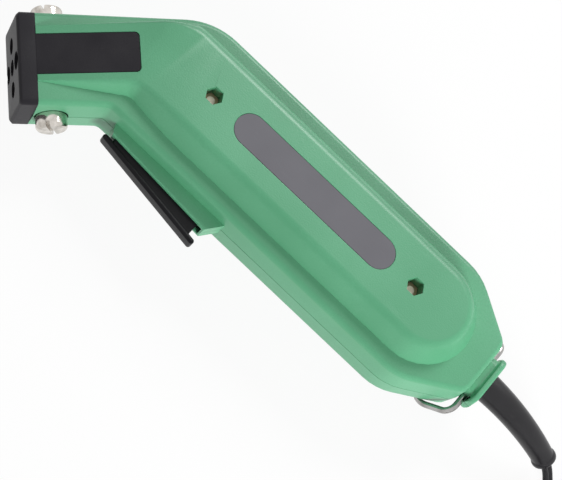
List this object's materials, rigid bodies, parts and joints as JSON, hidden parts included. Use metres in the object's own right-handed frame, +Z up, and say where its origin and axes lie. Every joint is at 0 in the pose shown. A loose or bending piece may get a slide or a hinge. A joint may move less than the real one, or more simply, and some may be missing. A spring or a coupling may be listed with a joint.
{
  "type": "electric hot knife",
  "caption": "Pistol-bent electric hot knife: green split case over a transformer, black nose cap with screw-clamp blade sockets, finger trigger, wire hanging loop, kink sleeve and mains cord.",
  "frame": {"origin": "midway between the two case screws, on the flat of the right side pad that the tool lies on", "axes": "+X along the handle towards the cord, +Y towards the back of the handle away from the trigger, +Z up from the right side pad through the parting plane"},
  "size_m": [0.416, 0.1382, 0.05],
  "materials": {
    "shell_green": "satin moulded plastic with a fine spark texture",
    "cap_black": "dark grey-black moulded phenolic, satin",
    "plate_grey": "bare grey printed film, no lettering",
    "screw_nickel": "nickel-plated turned steel",
    "brass": "plain turned brass",
    "copper": "bare copper, lightly dulled",
    "insulator_cream": "cream insulating plastic",
    "core_steel": "varnished lamination steel",
    "bright_steel": "zinc-plated steel",
    "black_plastic": "black moulded plastic",
    "trigger_black": "black moulded plastic, rubbed smooth",
    "loop_nickel": "bright nickel-plated wire",
    "sleeve_rubber": "dark grey moulded rubber",
    "cord_black": "dark vinyl twin cord",
    "lead_brown": "brown lead insulation",
    "lead_blue": "blue lead insulation"
  },
  "bodies": {
    "case": {"left_shell": "shell_green", "right_shell": "shell_green", "nose_cap": "cap_black", "label_plate": "plate_grey", "rating_plate": "plate_grey", "terminal_top": "brass", "terminal_bottom": "brass", "terminal_spacer": "insulator_cream", "copper_bar_top": "copper", "copper_bar_bottom": "copper", "core": "core_steel", "core_frame": "core_steel", "bobbin": "insulator_cream", "primary_winding": "copper", "secondary_strip": "copper", "switch_body": "black_plastic", "switch_tabs": "brass", "switch_pins": "bright_steel", "tab_receptacles": "screw_nickel", "trigger_pin": "bright_steel", "trigger_spring": "bright_steel", "case_screws": "bright_steel", "case_nuts": "brass", "cord_sleeve": "sleeve_rubber", "cord_clamp": "black_plastic", "cord_clamp_screws": "bright_steel", "live_lead": "lead_brown", "neutral_lead": "lead_blue", "switch_lead": "lead_brown", "cord": "cord_black", "cord_coil": "cord_black", "cord_tie": "black_plastic", "plug_body": "black_plastic", "plug_pins": "brass"},
    "trigger": {"trigger": "trigger_black"},
    "plunger": {"switch_plunger": "insulator_cream"},
    "clamp_screw_top": {"clamp_screw_top": "screw_nickel"},
    "clamp_screw_bottom": {"clamp_screw_bottom": "screw_nickel"},
    "hanging_loop": {"hanging_loop": "loop_nickel"}
  },
  "joints": [
    {"name": "trigger_pull", "type": "hinge", "parent": "case", "child": "trigger", "pos_m": [-0.078, -0.02605, 0.025], "axis": [0, 0, 1], "range_deg": [0, 5], "stiffness_Nm_per_rad": 0.8, "springref_deg": -20.05, "deforming": ["trigger_spring"]},
    {"name": "plunger_slide", "type": "slide", "parent": "case", "child": "plunger", "axis": [0, 1, 0], "range_m": [0, 0.0022]},
    {"name": "clamp_turn_top", "type": "hinge", "parent": "case", "child": "clamp_screw_top", "pos_m": [-0.13559, -0.0186, 0.025], "axis": [-0.7071, 0.7071, 0], "continuous": true},
    {"name": "clamp_turn_bottom", "type": "hinge", "parent": "case", "child": "clamp_screw_bottom", "pos_m": [-0.1049, -0.04929, 0.025], "axis": [0.7071, -0.7071, 0], "continuous": true},
    {"name": "loop_swing", "type": "hinge", "parent": "case", "child": "hanging_loop", "pos_m": [0.1113, 0, 0.025], "axis": [0, -1, 0], "range_deg": [0, 100]}
  ],
  "couplings": [
    {"joint": "plunger_slide", "follows": "trigger_pull", "m_per_rad": 0.024}
  ]
}
